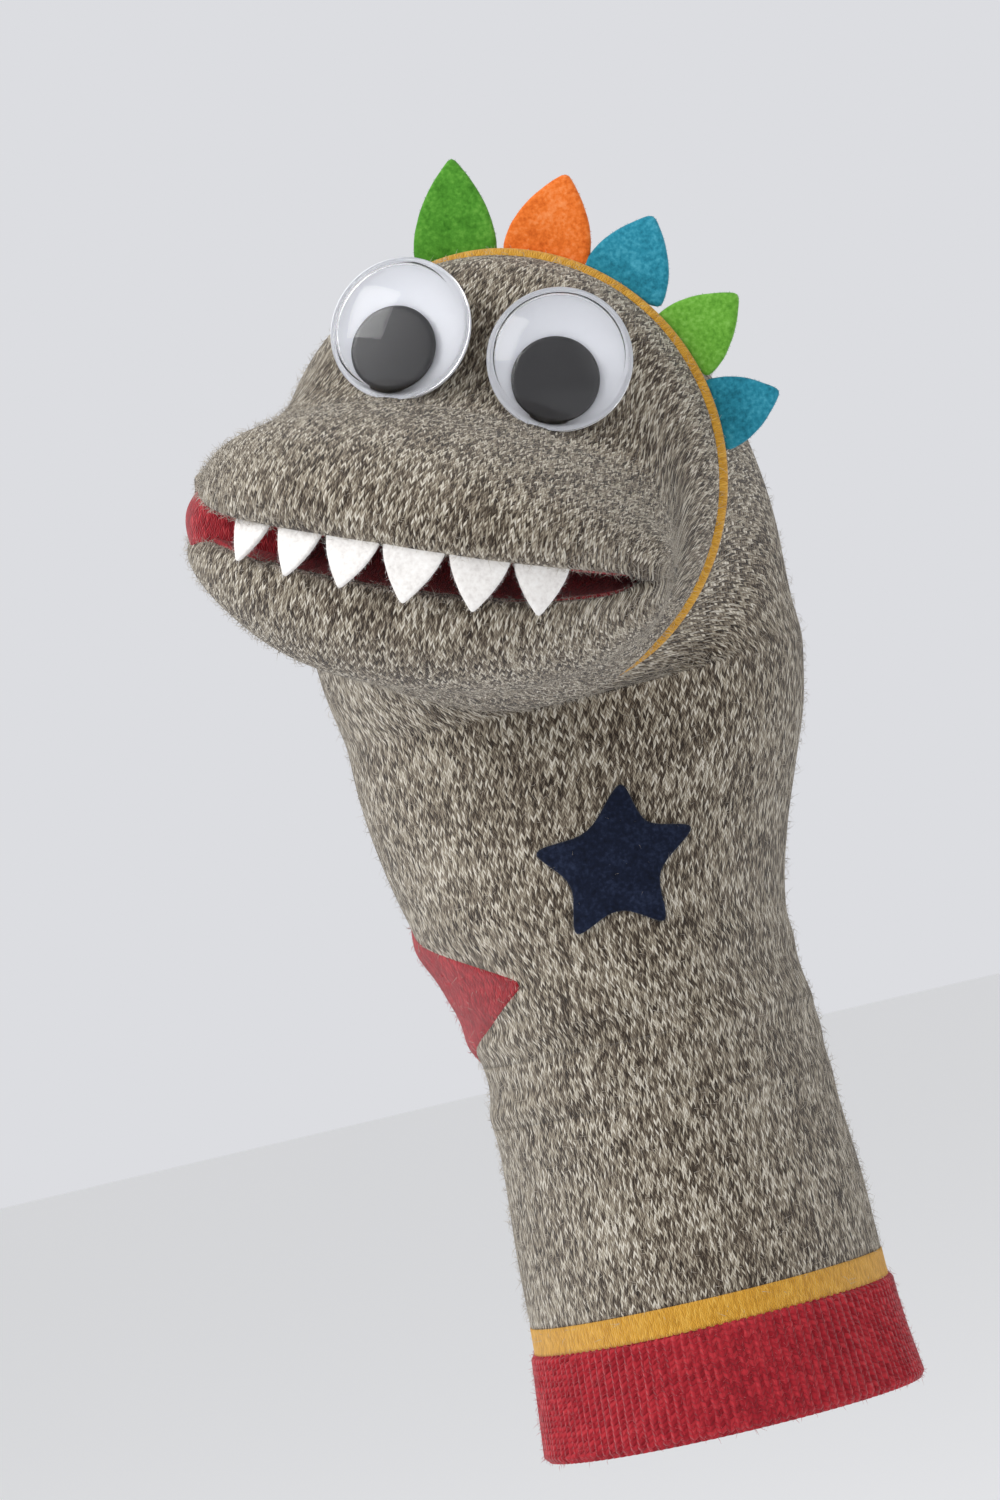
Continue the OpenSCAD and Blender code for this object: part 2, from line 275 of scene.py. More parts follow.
def knit(name, stops, contrast, bump_mm=0.26, slant=1.1, wale=WALE_MM, course=COURSE_MM):
    """Weft knitting, plain face out. Across is u over the wale's width, up is v over the course's height.
    A leg of a stitch rises away from the wale's middle, so rows follow v - 2 slant * distance."""
    m, tree, shader = material(name, 0.95, Sheen_Weight=0.25, Sheen_Roughness=0.5, Specular_IOR_Level=0.15)
    uv = node(tree, "ShaderNodeUVMap", uv_map="UVMap").outputs[0]
    split = node(tree, "ShaderNodeSeparateXYZ", {0: uv})
    across = sums(tree, "MULTIPLY", split.outputs[0], 1 / (wale * MM))
    up = sums(tree, "MULTIPLY", split.outputs[1], 1 / (course * MM))
    wobble = node(tree, "ShaderNodeTexNoise", {"Vector": uv}, in_Scale=260.0, in_Detail=2.0)
    across = sums(tree, "MULTIPLY_ADD", wobble.outputs[0], 0.9, across)
    side = sums(tree, "ABSOLUTE", sums(tree, "SUBTRACT", sums(tree, "FRACT", across), 0.5))
    row = sums(tree, "MULTIPLY_ADD", side, -2 * slant, up)
    row = sums(tree, "MULTIPLY_ADD", wobble.outputs[0], 1.1, row)
    leg = sums(tree, "SUBTRACT", sums(tree, "FRACT", row), 0.5)
    leg_h = sums(tree, "SUBTRACT", 1.0, sums(tree, "MULTIPLY", 4.0, sums(tree, "MULTIPLY", leg, leg)))
    off = sums(tree, "SUBTRACT", sums(tree, "MULTIPLY", side, 4.0), 1.0)
    side_h = sums(tree, "SUBTRACT", 1.0, sums(tree, "MULTIPLY", off, off))
    height = sums(tree, "MULTIPLY", leg_h, sums(tree, "MULTIPLY_ADD", side_h, 0.6, 0.4))
    cell = node(tree, "ShaderNodeCombineXYZ", {
        0: sums(tree, "FLOOR", sums(tree, "MULTIPLY", across, 2.0)), 1: sums(tree, "FLOOR", row)})
    tone = node(tree, "ShaderNodeTexWhiteNoise", {"Vector": cell.outputs[0]}, noise_dimensions="2D")
    fine_at = node(tree, "ShaderNodeMapping", {"Vector": uv}, in_Scale=(3000.0, 800.0, 1.0))
    fine = node(tree, "ShaderNodeTexNoise", {"Vector": fine_at.outputs[0]}, in_Scale=1.0, in_Detail=3.0)
    patch = node(tree, "ShaderNodeTexNoise", {"Vector": uv}, in_Scale=90.0, in_Detail=2.0)
    mix = sums(tree, "MULTIPLY_ADD", tone.outputs[0], TONE, sums(tree, "MULTIPLY", fine.outputs[0], FINE))
    mix = sums(tree, "MULTIPLY_ADD", patch.outputs[0], PATCH, mix)
    # Painted shade: the leg's height lightens the raised legs and darkens the grooves between them
    mix = sums(tree, "MULTIPLY_ADD", height, GROOVE_SHADE, mix)
    mix = sums(tree, "MULTIPLY_ADD", sums(tree, "SUBTRACT", mix, SHADE_MID), contrast, 0.5)
    tree.links.new(ramp(tree, mix, stops), shader.inputs["Base Color"])
    fluff = sums(tree, "MULTIPLY_ADD", fine.outputs[0], 0.35, height)
    bump = node(tree, "ShaderNodeBump", {"Height": fluff}, in_Strength=0.8, in_Distance=bump_mm * MM)
    tree.links.new(bump.outputs[0], shader.inputs["Normal"])
    return m


MARL = [(0.0, "#261D15"), (0.25, "#463A2E"), (0.5, "#7F7363"), (0.75, "#B2A895"), (1.0, "#E4DDD0")]
RED = [(0.0, "#5E0912"), (0.4, "#951724"), (0.7, "#B32A34"), (1.0, "#D24C50")]
MUSTARD = [(0.0, "#A87416"), (0.45, "#D69C30"), (0.75, "#E4AE44"), (1.0, "#F2C766")]
marl_knit = knit("marl_wool_knit", MARL, 1.9)
red_knit = knit("red_wool_knit", RED, 1.3)
mustard_knit = knit("mustard_wool_knit", MUSTARD, 1.2)
red_rib = knit("red_wool_rib", RED, 0.9, slant=0.5, wale=RIB_WALE_MM, course=1.0)
print("knit materials ready")


# %% Felt, plastic and loose fibre
def felt(name, code, dark, light):
    """Needled felt: matted fibres with no weave, so two sizes of noise give flecks and a nap."""
    m, tree, shader = material(name, 0.95, Sheen_Weight=0.35, Sheen_Roughness=0.4, Specular_IOR_Level=0.1)
    place = node(tree, "ShaderNodeTexCoord").outputs["Object"]
    nap = node(tree, "ShaderNodeTexNoise", {"Vector": place}, in_Scale=1400.0, in_Detail=4.0)
    cloud = node(tree, "ShaderNodeTexNoise", {"Vector": place}, in_Scale=260.0, in_Detail=3.0)
    fac = sums(tree, "MULTIPLY_ADD", nap.outputs[0], 0.6, sums(tree, "MULTIPLY", cloud.outputs[0], 0.4))
    tree.links.new(ramp(tree, fac, [(0.3, dark), (0.5, code), (0.72, light)]), shader.inputs["Base Color"])
    bump = node(tree, "ShaderNodeBump", {"Height": fac}, in_Strength=0.7, in_Distance=0.25 * MM)
    tree.links.new(bump.outputs[0], shader.inputs["Normal"])
    return m


FELTS = {
    "white": felt("white_wool_felt", "#EEEBE8", "#D9D5D2", "#FBFAF8"),
    "green": felt("green_wool_felt", "#4E8F2E", "#35701C", "#6FAE45"),
    "orange": felt("orange_wool_felt", "#E5752E", "#BF5418", "#F4965A"),
    "teal": felt("teal_wool_felt", "#2B879F", "#196478", "#4FA9C0"),
    "light_green": felt("light_green_wool_felt", "#6AA83C", "#4B8726", "#8CC65E"),
    "navy": felt("navy_wool_felt", "#161D30", "#0C111E", "#2B344B"),
}
white_plastic = material("moulded_white_styrene", 0.4, Base_Color=linear("#F4F6FC"))[0]
black_plastic = material("stamped_black_vinyl", 0.35, Base_Color=linear("#1C1B1E"))[0]
# Styrene's index is 1.59. A lower one is used to weaken the dome's reflections.
clear_plastic = material("blown_clear_styrene", 0.04, Base_Color=linear("#FFFFFF"), IOR=1.25,
                         Transmission_Weight=1.0)[0]
marl_fibre = material("loose_marl_fibre", 0.9, Base_Color=linear("#B9B0A2"), Sheen_Weight=0.3)[0]
red_fibre = material("loose_red_fibre", 0.9, Base_Color=linear("#B4303A"), Sheen_Weight=0.3)[0]
print("felts", sorted(FELTS))

# %% [markdown]
# ## The sock's shape
# The sock is one tube. Up to the throat its sections are level ovals; from there they fan round a line
# under the chin until they face forward at the stripe. The ovals' sizes are a few chosen values joined
# by smooth curves, and soft creases round the wrist widen them.

# %% Tube sections, by the run s up the sock
SHIFT = 2.4             # the stripe's middle lies this far to the puppet's left of the forearm's
FAN_RUN = 50.0          # run given to the turn from upright to forward
S_RING = THROAT_Z + FAN_RUN
span = THROAT_Z - BAND_TOP
SLEEVE = np.array([0, 0.12, 0.23, 0.35, 0.46, 0.54, 0.63, 0.72, 0.82, 0.91, 1])
S_KEYS = np.concatenate([[0, CUFF_TOP * 0.5, CUFF_TOP], BAND_TOP + span * SLEEVE,
                         THROAT_Z + FAN_RUN * np.array([0.25, 0.5, 0.75, 1])])
HALF_W = [33.6, 32.6, 31.8, 31.6, 31.2, 30.4, 29.6, 29.0, 29.4, 32.0, 35.0, 38.2, 40.6, 41.8,
          42.8, 43.0, 41.6, HEAD_R]
HALF_D = [32.4, 31.4, 30.6, 30.4, 29.8, 28.8, 28.2, 27.6, 27.6, 28.0, 28.2, 28.0, 27.6, 27.0,
          29.0, 33.0, 37.0, HEAD_R]
MID_X = [-0.8, -0.8, -0.7, -0.6, -0.5, -0.5, -0.4, -0.5, -1.4, -2.8, -3.2, -2.6, -1.6, -0.8,
         0.6, 2.0, 2.6, SHIFT]
MID_Y = [0, 0, 0, 0, 0, 0, 0, 0, 0, 0.6, 2.0, 4.2, 6.0, 7.0, 0, 0, 0, 0]
TURN = [0] * 13 + [0, 0.2, 0.45, 0.75, 1]
# Creases: share of the sleeve's run, reach and place round it in degrees, height and half width in mm
CREASES = [(0.55, 75, 285, 1.4, 2.6), (0.49, 85, 255, 1.7, 2.8), (0.43, 80, 300, 1.5, 2.7),
           (0.37, 70, 240, 1.1, 2.6), (0.31, 85, 290, 0.8, 3.0), (0.52, 80, 100, 1.3, 3.0),
           (0.40, 90, 60, 0.8, 3.2), (0.66, 60, 210, 0.8, 3.4)]


def smooth_noise(t, s, seed, size_t, size_s, waves=9):
    """Soft unevenness: a sum of sine waves with seeded whole numbers of turns round and lengths along."""
    r = np.random.default_rng(seed)
    out = np.zeros(np.broadcast(t, s).shape)
    for _ in range(waves):
        k, f = r.integers(1, size_t + 1), r.uniform(0.4, 1.0) * 2 * np.pi / size_s
        out = out + np.sin(k * t + f * s * r.choice([-1, 1]) + r.uniform(0, 6.28))
    return out / math.sqrt(waves)


def tube(t, s, out=0.0):
    """Point on the sock at angle t round it (0 is +X, 270 degrees is the front) and run s up it."""
    a, b = through(S_KEYS, HALF_W, s), through(S_KEYS, HALF_D, s)
    bump = 0.22 * smooth_noise(t, s, 3, 5, 46) * ease((s - BAND_TOP) / 12) * ease((S_RING - s) / 14)
    for place, reach, where, high, half in CREASES:
        d = (t - math.radians(where) + np.pi) % (2 * np.pi) - np.pi
        at = BAND_TOP + span * place + 1.6 * np.sin(d * 2.2)
        bump = bump + high * np.exp(-((s - at) / half) ** 2) * np.exp(-(d / math.radians(reach)) ** 2)
    a, b = a + out + bump, b + out + bump
    fan = np.clip((s - THROAT_Z) / FAN_RUN, 0, 1) * np.pi / 2
    reach = 2 + through(S_KEYS, HALF_D, s)
    upright = s < THROAT_Z
    mid_y = np.where(upright, through(S_KEYS, MID_Y, s), RING_Y + reach * np.cos(fan))
    mid_z = np.where(upright, s, THROAT_Z + reach * np.sin(fan))
    p = np.stack(np.broadcast_arrays(through(S_KEYS, MID_X, s) + a * np.cos(t),
                                     mid_y + b * np.sin(t) * np.cos(fan),
                                     mid_z + b * np.sin(t) * np.sin(fan)), -1)
    return cocked(p, TILT * through(S_KEYS, TURN, s))


COLUMNS = 224
ROUND = np.pi / 2 + np.linspace(0, 2 * np.pi, COLUMNS, endpoint=False)
WALES = 236             # stitches counted round the sleeve
print("sock tube:", len(S_KEYS), "sections, run to the stripe", round(S_RING, 1), "mm")


# %% [markdown]
# ## Knitted pieces and their fluff
# Wool and cotton knit is never sharp at its edge: short fibre ends stand out of it everywhere. They are
# thin three-sided slivers, some 24,000 on the knit, joined into the piece so that they move with it.

# %% Fluff, and a piece of knit
KNIT_THICK = 1.5


def fluff(p, n, count, length, seed, thick=0.05):
    """Slivers: each starts at a random point of the grid and curves away along the normal and a random
    sideways direction. Returns points and faces."""
    r = np.random.default_rng(seed)
    rows, cols = n.shape[:2]
    j, i = r.integers(0, rows - 1, count), r.integers(0, cols - 1, count)
    mix = r.random((count, 1))
    base = p[j, i] * (1 - mix) + p[j + 1, (i + 1) % cols] * mix
    out = n[j, i]
    away = r.normal(size=(count, 3))
    away -= out * (away * out).sum(1, keepdims=True)
    away /= np.linalg.norm(away, axis=1, keepdims=True)
    run = length * r.uniform(0.35, 1.0, (count, 1)) ** 1.5
    mid = base + (out * 0.55 + away * 0.5) * run * 0.5
    tip = base + (out * r.uniform(0.3, 0.9, (count, 1)) + away) * run
    side = np.cross(away, out)
    tri = [side, -0.5 * side + 0.86 * out, -0.5 * side - 0.86 * out]
    foot, waist = [base - out * 0.2 + v * thick for v in tri], [mid + v * thick * 0.8 for v in tri]
    pts = np.stack(foot + waist + [tip], 1)
    k = np.arange(count)[:, None] * 7
    tris = np.concatenate([k + f for f in ([0, 2, 1], [3, 4, 6], [4, 5, 6], [5, 3, 6])])
    four = np.concatenate([k + f for f in ([0, 1, 4, 3], [1, 2, 5, 4], [2, 0, 3, 5])])
    return pts.reshape(-1, 3), tris, four


def knit_piece(name, p, uv, thick, skin, fibre, fibres, shut=False, period=0.0, length=2.1):
    """A wall of knit from a grid, with fluff on its outer face. period mends u where the grid shuts."""
    points, faces, uv_all, n = wall_arrays(p, thick, shut, uv)
    tips, tris, four = fluff(p, n, fibres, length, len(name) * 31 + fibres)
    count = len(points)
    every = faces.tolist() + (four + count).tolist() + (tris + count).tolist()
    piece = add_piece(name, np.concatenate([points, tips]), every, skin, fibre)
    mesh = piece.data
    corner = uv_all[faces]
    if period:
        low = corner[..., 0] < corner[..., 0].max(1, keepdims=True) - period / 2
        corner[..., 0] += low * period
    loops = np.zeros((len(mesh.loops), 2))
    loops[:faces.size] = corner.reshape(-1, 2)
    mesh.uv_layers.new(name="UVMap").data.foreach_set("uv", (loops * MM).ravel())
    is_fibre = np.arange(len(every)) >= len(faces)
    mesh.polygons.foreach_set("material_index", is_fibre.astype(np.int32))
    mesh.update()
    print(name, len(every), "faces")
    return piece


def tube_piece(name, s, skin, fibre, fibres, out=0.0):
    """A stretch of the sock between two runs."""
    t, s = np.meshgrid(ROUND, s)
    p = tube(t, s, out)
    uv = np.stack([(t - np.pi / 2) / (2 * np.pi) * WALES * WALE_MM, lengths(p, 0) + s[0, 0]], -1)
    return knit_piece(name, p, uv, KNIT_THICK, skin, fibre, fibres, True, WALES * WALE_MM)


print("fluff and knit pieces ready")


# %% [markdown]
# ## Cuff, band, leg, wrist and neck
# The cuff is one-by-one rib, whose ridges are real geometry. The skins meet edge to edge.

# %% Sleeve pieces
RIBS, RIB_HIGH = 130, 0.26
BEND_LOW, BEND_WRIST, BEND_NECK, BEND_HIGH = WRIST_Z - 22, WRIST_Z - 5, WRIST_Z + 6, WRIST_Z + 32

rib_t = np.pi / 2 + np.linspace(0, 2 * np.pi, RIBS * 5, endpoint=False)
rib_s = np.concatenate([[0, 0.25, 0.6, 1.1], np.linspace(1.8, CUFF_TOP - 0.8, 22),
                        [CUFF_TOP - 0.3, CUFF_TOP]])
rib_t, rib_s = np.meshgrid(rib_t, rib_s)
hem = -0.9 * (1 - ease(rib_s / 1.1)) - 0.5 * (1 - ease((CUFF_TOP - rib_s) / 0.8))
ridge = RIB_HIGH * np.cos(RIBS * (rib_t - np.pi / 2))
rib_out = 0.55 + hem + ridge + 0.15 * smooth_noise(rib_t, rib_s, 5, 6, 30)
rib_p = tube(rib_t, rib_s, rib_out)
rib_uv = np.stack([(rib_t - np.pi / 2) / (2 * np.pi) * RIBS * RIB_WALE_MM, rib_s], -1)
cuff = knit_piece("ribbed_cuff", rib_p, rib_uv, 2.2, red_rib, red_fibre, 3500, True,
                  RIBS * RIB_WALE_MM, length=1.4)
band = tube_piece("mustard_band", np.linspace(CUFF_TOP - 0.2, BAND_TOP, 8), mustard_knit, marl_fibre, 60,
                  0.12)
leg = tube_piece("leg_knit", np.linspace(BAND_TOP, BEND_WRIST, 40), marl_knit, marl_fibre, 3000)
wrist = tube_piece("wrist_knit", np.linspace(BEND_WRIST, BEND_NECK, 14), marl_knit, marl_fibre, 800)
neck = tube_piece("neck_knit", np.linspace(BEND_NECK, S_RING - 0.3, 120), marl_knit, marl_fibre, 6000)


# %% Heel: a lens of red knit half round the neck, a little proud of it
HEEL_TIP, HEEL_MID_S, HEEL_HALF = 24, WRIST_Z + 19.4, 20.0
around, rise = np.meshgrid(np.linspace(1, 179, 110), np.linspace(-1, 1, 34))
narrow = (1 - np.abs(around - 90) / 90) ** 0.8
heel_t = np.radians(270 - HEEL_TIP - around)
heel_s = HEEL_MID_S + rise * HEEL_HALF * narrow
puff = 2.2 * np.exp(-((around - 90) / 45) ** 2) * (1 - rise**2)
edge = 0.3 - 0.45 * np.maximum(rise**8, np.maximum(0, 1 - narrow / 0.03))
heel_p = tube(heel_t[:, ::-1], heel_s[:, ::-1], (edge + puff)[:, ::-1])
heel_uv = np.stack([-(np.radians(around) / (2 * np.pi) * WALES * WALE_MM)[:, ::-1], heel_s[:, ::-1]], -1)
heel = knit_piece("heel_knit", heel_p, heel_uv, 0.9, red_knit, red_fibre, 900, length=1.5)


# %% [markdown]
# ## Head
# In front of the stripe the sections are arches. As far as the mouth's corners they stand upright; from
# there on they are slices turned about the line through the corners, so every slice ends at a corner
# and the lips' roll is just the last few slices.

# %% Upper head and lower jaw
def arch(c, forward, top, w, below=False):
    """Upright section: near the stripe part of its circle, further forward half an oval; c runs 0 to 1."""
    start = math.asin(-MOUTH_DROP / HEAD_R)
    theta = start + (np.pi - 2 * start) * c
    if below:
        theta = np.pi - start + (np.pi + 2 * start) * c
    full = HEAD_R + (MOUTH_DROP if not below else -MOUTH_DROP)
    sign = -1 if below else 1
    round_x, round_z = HEAD_R * np.cos(theta), (HEAD_R * np.sin(theta) + MOUTH_DROP) * sign / full
    t = np.pi * (c + (1 if below else 0))
    k = ease(forward / (CORNER_F * 0.8))
    x = (1 - k) * round_x + k * w * power(np.cos(t))
    z = (1 - k) * round_z + k * power(np.abs(np.sin(t)))
    return x, np.broadcast_to(forward, x.shape), -MOUTH_DROP + sign * z * (top + sign * MOUTH_DROP)


def power(v):
    """v to the power 0.92, sign kept: it fills an oval out towards a box."""
    return np.sign(v) * np.abs(v) ** 0.92


def slice_at(c, angle, w, reach, below=False):
    """Section turned about the line through the corners, to an angle from straight back."""
    t = np.pi * (c + (1 if below else 0))
    s = power(np.abs(np.sin(t))) * reach
    return w * power(np.cos(t)), CORNER_F - s * np.cos(angle), -MOUTH_DROP + s * np.sin(angle)


REACH = 33.0
BROW_F, BROW_TOP = [0, 5, 10, 14, 17.5, 21, 25, 28], [39, 38.6, 36.6, 31.6, 24.6, 18, 13.6, 12]
SNOUT_A = [90, 105, 120, 135, 148, 158, 167, 174, 179, 180.5, 179]
SNOUT_R = [26, 25.8, 27.4, 30, 33, 34.8, 35.8, 35, 33.2, 30.2, 27]
JAW_F, JAW_BOTTOM = [0, 8, 16, 28], [39, 39.6, 39.6, 39.4]
JAW_A = [270, 258, 246, 234, 222, 211, 203, 198, 195.5, 196, 197]
JAW_R = [25.4, 26, 27.4, 29.4, 31.6, 32.6, 32.0, 30.8, 29.0, 27.0, 25.0]
MOUTH_W, WAIST, MUZZLE_X, EYE_X = 41.2, 2.6, -0.8, 14.0


def lifted(x, forward, up):
    """The mouth sits higher in front than at its hinge, and more so to the puppet's left. The lift fades
    out towards the stripe and, on the upper head, towards the eyes. The ring's shift fades out too."""
    near = ease((forward - 6) / 22)
    lift = (4.0 + 0.045 * x) * near * (1 - ease((up + MOUTH_DROP) / 30))
    return x + SHIFT * (1 - near) + MUZZLE_X * near, forward, up + lift


cols = np.linspace(0, 1, 150)
f_rows, q_rows = np.linspace(0, CORNER_F, 46)[:-1], np.linspace(0, 1, 84)


def by_run(keys, values, q):
    """Values along a profile by the share q of its number of points."""
    return through(np.linspace(0, 1, len(keys)), values, q)


def lip_gap(c, q):
    """How far the lips part at the puppet's right corner, where the red toe shows as a gusset."""
    return 3.6 * np.exp(-((c - 1) / 0.16) ** 2) * ease(q * 1.6)


def brow_pads(x, forward, up):
    """The knuckles fill the brow out behind each eye: two soft mounds that push the skin forward."""
    side = np.exp(-((x - EYE_X) / 11) ** 2) + np.exp(-((x + EYE_X) / 11) ** 2)
    return forward + 3.4 * side * np.exp(-((up - 30) / 7.5) ** 2)


def corner_roll(c, q):
    """The lips roll round the mouth's corner on the puppet's left, as one soft ridge."""
    return 2.2 * np.exp(-((c - 0.075) / 0.06) ** 2) * ease(q * 2.2)


def head_grid(below):
    """Points of the upper head or of the jaw, from the stripe to inside the lip."""
    c, f = np.meshgrid(cols, f_rows)
    keys, tops = (JAW_F, JAW_BOTTOM) if below else (BROW_F, BROW_TOP)
    w = HEAD_R + (MOUTH_W - HEAD_R) * ease(f / CORNER_F) - WAIST * np.sin(np.pi * f / CORNER_F) ** 2
    back = arch(c, f, through(keys, tops, f), w, below)
    c2, q = np.meshgrid(cols, q_rows)
    angles, reaches = (JAW_A, JAW_R) if below else (SNOUT_A, SNOUT_R)
    front = slice_at(c2, np.radians(by_run(angles, angles, q)), MOUTH_W - 0.4 * ease(q * 2 - 1),
                     by_run(angles, reaches, q), below)
    x, fwd, up = (np.concatenate([a, b]) for a, b in zip(back, front))
    run = np.concatenate([np.zeros_like(f), q])
    up = up + lip_gap(1 - c2[0] if below else c2[0], run) * (-1 if below else 1)
    if not below:
        fwd = brow_pads(x, fwd, up)
    p = from_head(*lifted(x, fwd, up))
    n = normals(p, False)
    rough = 0.3 * smooth_noise(c[0] * 3.1, run * 30 + np.concatenate([f, q * 60 + CORNER_F]), 11, 5, 40)
    fade = ease(np.concatenate([f, q * 0 + CORNER_F]) / 6) * ease((1 - run) / 0.3)
    roll = corner_roll(1 - c[0] if below else c[0], run) * ease((1 - run) / 0.25)
    return p + n * (rough * fade * ease(c[0] / 0.1) * ease((1 - c[0]) / 0.1) + roll)[..., None]


def head_uv(p):
    """Across by distance from the middle column, along by distance from the stripe."""
    u = lengths(p, 1)
    return np.stack([u - u[:, [p.shape[1] // 2]], lengths(p, 0)], -1)


top_p, jaw_p = head_grid(False), head_grid(True)
head_top = knit_piece("head_knit", top_p, head_uv(top_p), KNIT_THICK, marl_knit, marl_fibre, 5500)
lower_jaw = knit_piece("jaw_knit", jaw_p, head_uv(jaw_p), KNIT_THICK, marl_knit, marl_fibre, 3500)

# %% Stripe round the head
STRIPE_WALES = 285
stripe_c, stripe_f = np.meshgrid(np.linspace(-np.pi, np.pi, 240, endpoint=False),
                                 np.linspace(-1.3, 1.9, 13))
stripe_deg = np.degrees(stripe_c)
shows = ease((stripe_deg + 70) / 40) * ease((150 - stripe_deg) / 50)
swell = -0.15 + 1.3 * shows - (0.35 + shows) * ((stripe_f - 0.3) / 1.6) ** 2
stripe_p = from_head((HEAD_R + swell) * np.cos(stripe_c) + SHIFT, stripe_f,
                     (HEAD_R + swell) * np.sin(stripe_c))
stripe_uv = np.stack([stripe_c / (2 * np.pi) * STRIPE_WALES * WALE_MM, stripe_f], -1)
stripe = knit_piece("head_stripe_knit", stripe_p, stripe_uv, 1.6, mustard_knit, marl_fibre, 200, True,
                    STRIPE_WALES * WALE_MM, length=1.0)
print("mouth half width", round(MOUTH_W, 1))


# %% [markdown]
# ## The mouth
# The red toe is tucked in, so the roof and the floor are two half ovals that meet in a fold at the
# jaw's hinge.

# %% Roof and floor of the mouth
def mouth_half(name, angle, reach, lift):
    """Half an oval ruled from the lip's edge to the fold, hollowed a little in the middle."""
    c, q = np.meshgrid(np.linspace(0, 1, 90), np.linspace(0, 1, 36))
    t = np.pi * c
    s = (1 - q) * reach * np.sin(t)
    bow = lift * np.sin(np.pi * q) * np.sin(t)
    a = math.radians(angle)
    x = (MOUTH_W - 1.2) * np.cos(t)
    part = 2.6 * np.exp(-((c - 1) / 0.14) ** 2) * (1 - q) * np.sign(lift)
    p = from_head(*lifted(x, CORNER_F - s * math.cos(a), -MOUTH_DROP + s * math.sin(a) + bow + part))
    if lift < 0:
        p = p[:, ::-1]
    return knit_piece(name, p[::-1], head_uv(p)[::-1], 0.9, red_knit, red_fibre, 260, length=0.9)


roof = mouth_half("mouth_roof_knit", 179, 30.0, 2.2)
floor_of_mouth = mouth_half("mouth_floor_knit", 198, 29.0, -2.2)


# %% Red gusset where the toe's heel-side fold shows at the puppet's right corner
turn_a, lip_a = np.meshgrid(np.linspace(-4, 44, 40), np.linspace(168, 206, 34))
tau, phi = np.radians(turn_a), np.radians(lip_a)
tucked = ease((turn_a - 22) / 20)
belly = 1.3 * np.cos((lip_a - 187) / 19 * np.pi / 2) * np.cos((turn_a - 8) / 40 * np.pi / 2).clip(0)
gusset_x = -(MOUTH_W - 0.6 + belly) * np.cos(tau) + 9 * tucked
gusset_r = (27.5 + belly) * np.sin(tau) + 1.5 - 5 * tucked
gusset_p = from_head(*lifted(gusset_x, CORNER_F - gusset_r * np.cos(phi),
                             -MOUTH_DROP + (gusset_r + 7.5) * np.sin(phi) * 0.9))
gusset = knit_piece("corner_gusset_knit", gusset_p, head_uv(gusset_p), 0.8, red_knit, red_fibre, 260,
                    length=1.2)


# %% [markdown]
# ## Felt teeth, spikes and star
# Each is cut from a sheet: an outline drawn out to a thickness, with its cut edge a little rounded and
# a few fibres standing off it. The star takes the curve of the neck under it.

# %% Felt pieces
def outline_leaf(w, h, bow, n=26):
    """Two bowed sides from a straight base to a point: half width w/2 (1-u^1.6)(1+bow u) at height h u."""
    u = np.linspace(0, 1, n)
    half = w / 2 * (1 - u**1.6) * (1 + bow * u)
    right, left = np.stack([half, h * u], -1), np.stack([-half, h * u], -1)[::-1]
    foot = np.stack([np.linspace(-w / 2, w / 2, 12)[1:-1], np.zeros(10)], -1)
    return np.concatenate([right[:-1], left, foot])


def felt_piece(name, outline, thick, place, finish, seed, fibres=160, blunt=2):
    """Closed felt shape: the outline shrunk towards its middle on each face and rounded at the edge."""
    r = np.random.default_rng(seed)
    for _ in range(blunt):
        outline = (np.roll(outline, 1, 0) + 2 * outline + np.roll(outline, -1, 0)) / 4
    middle = outline.mean(0)
    ragged = 1 + 0.006 * np.convolve(r.normal(size=len(outline) + 2), [0.3, 0.4, 0.3], "valid")
    ring = middle + (outline - middle) * ragged[:, None]
    shrink = np.array([0.02, 0.3, 0.6, 0.85, 0.95, 0.985, 1, 1, 0.985, 0.95, 0.85, 0.6, 0.3, 0.02])
    level = thick * np.array([-0.5, -0.5, -0.5, -0.48, -0.42, -0.3, -0.12,
                              0.12, 0.3, 0.42, 0.48, 0.5, 0.5, 0.5])
    flat = middle + (ring - middle) * shrink[:, None, None]
    p = place(flat[..., 0], flat[..., 1], np.broadcast_to(level[:, None], flat.shape[:2]))
    rows, count = p.shape[:2]
    ids = np.arange(rows * count).reshape(rows, count)
    n = normals(p, True)
    tips, tris, four = fluff(p[4:10], n[4:10], fibres, 1.0, seed, 0.03)
    start = rows * count
    faces = (quads(rows, count, True).tolist() + [ids[0, ::-1].tolist(), ids[-1].tolist()]
             + (four + start).tolist() + (tris + start).tolist())
    return add_piece(name, np.concatenate([p.reshape(-1, 3), tips]), faces, finish)


def node_middle(name):
    """Middle of a node's box, in millimetres."""
    low, high = box_mm(name)
    return (low + high) / 2


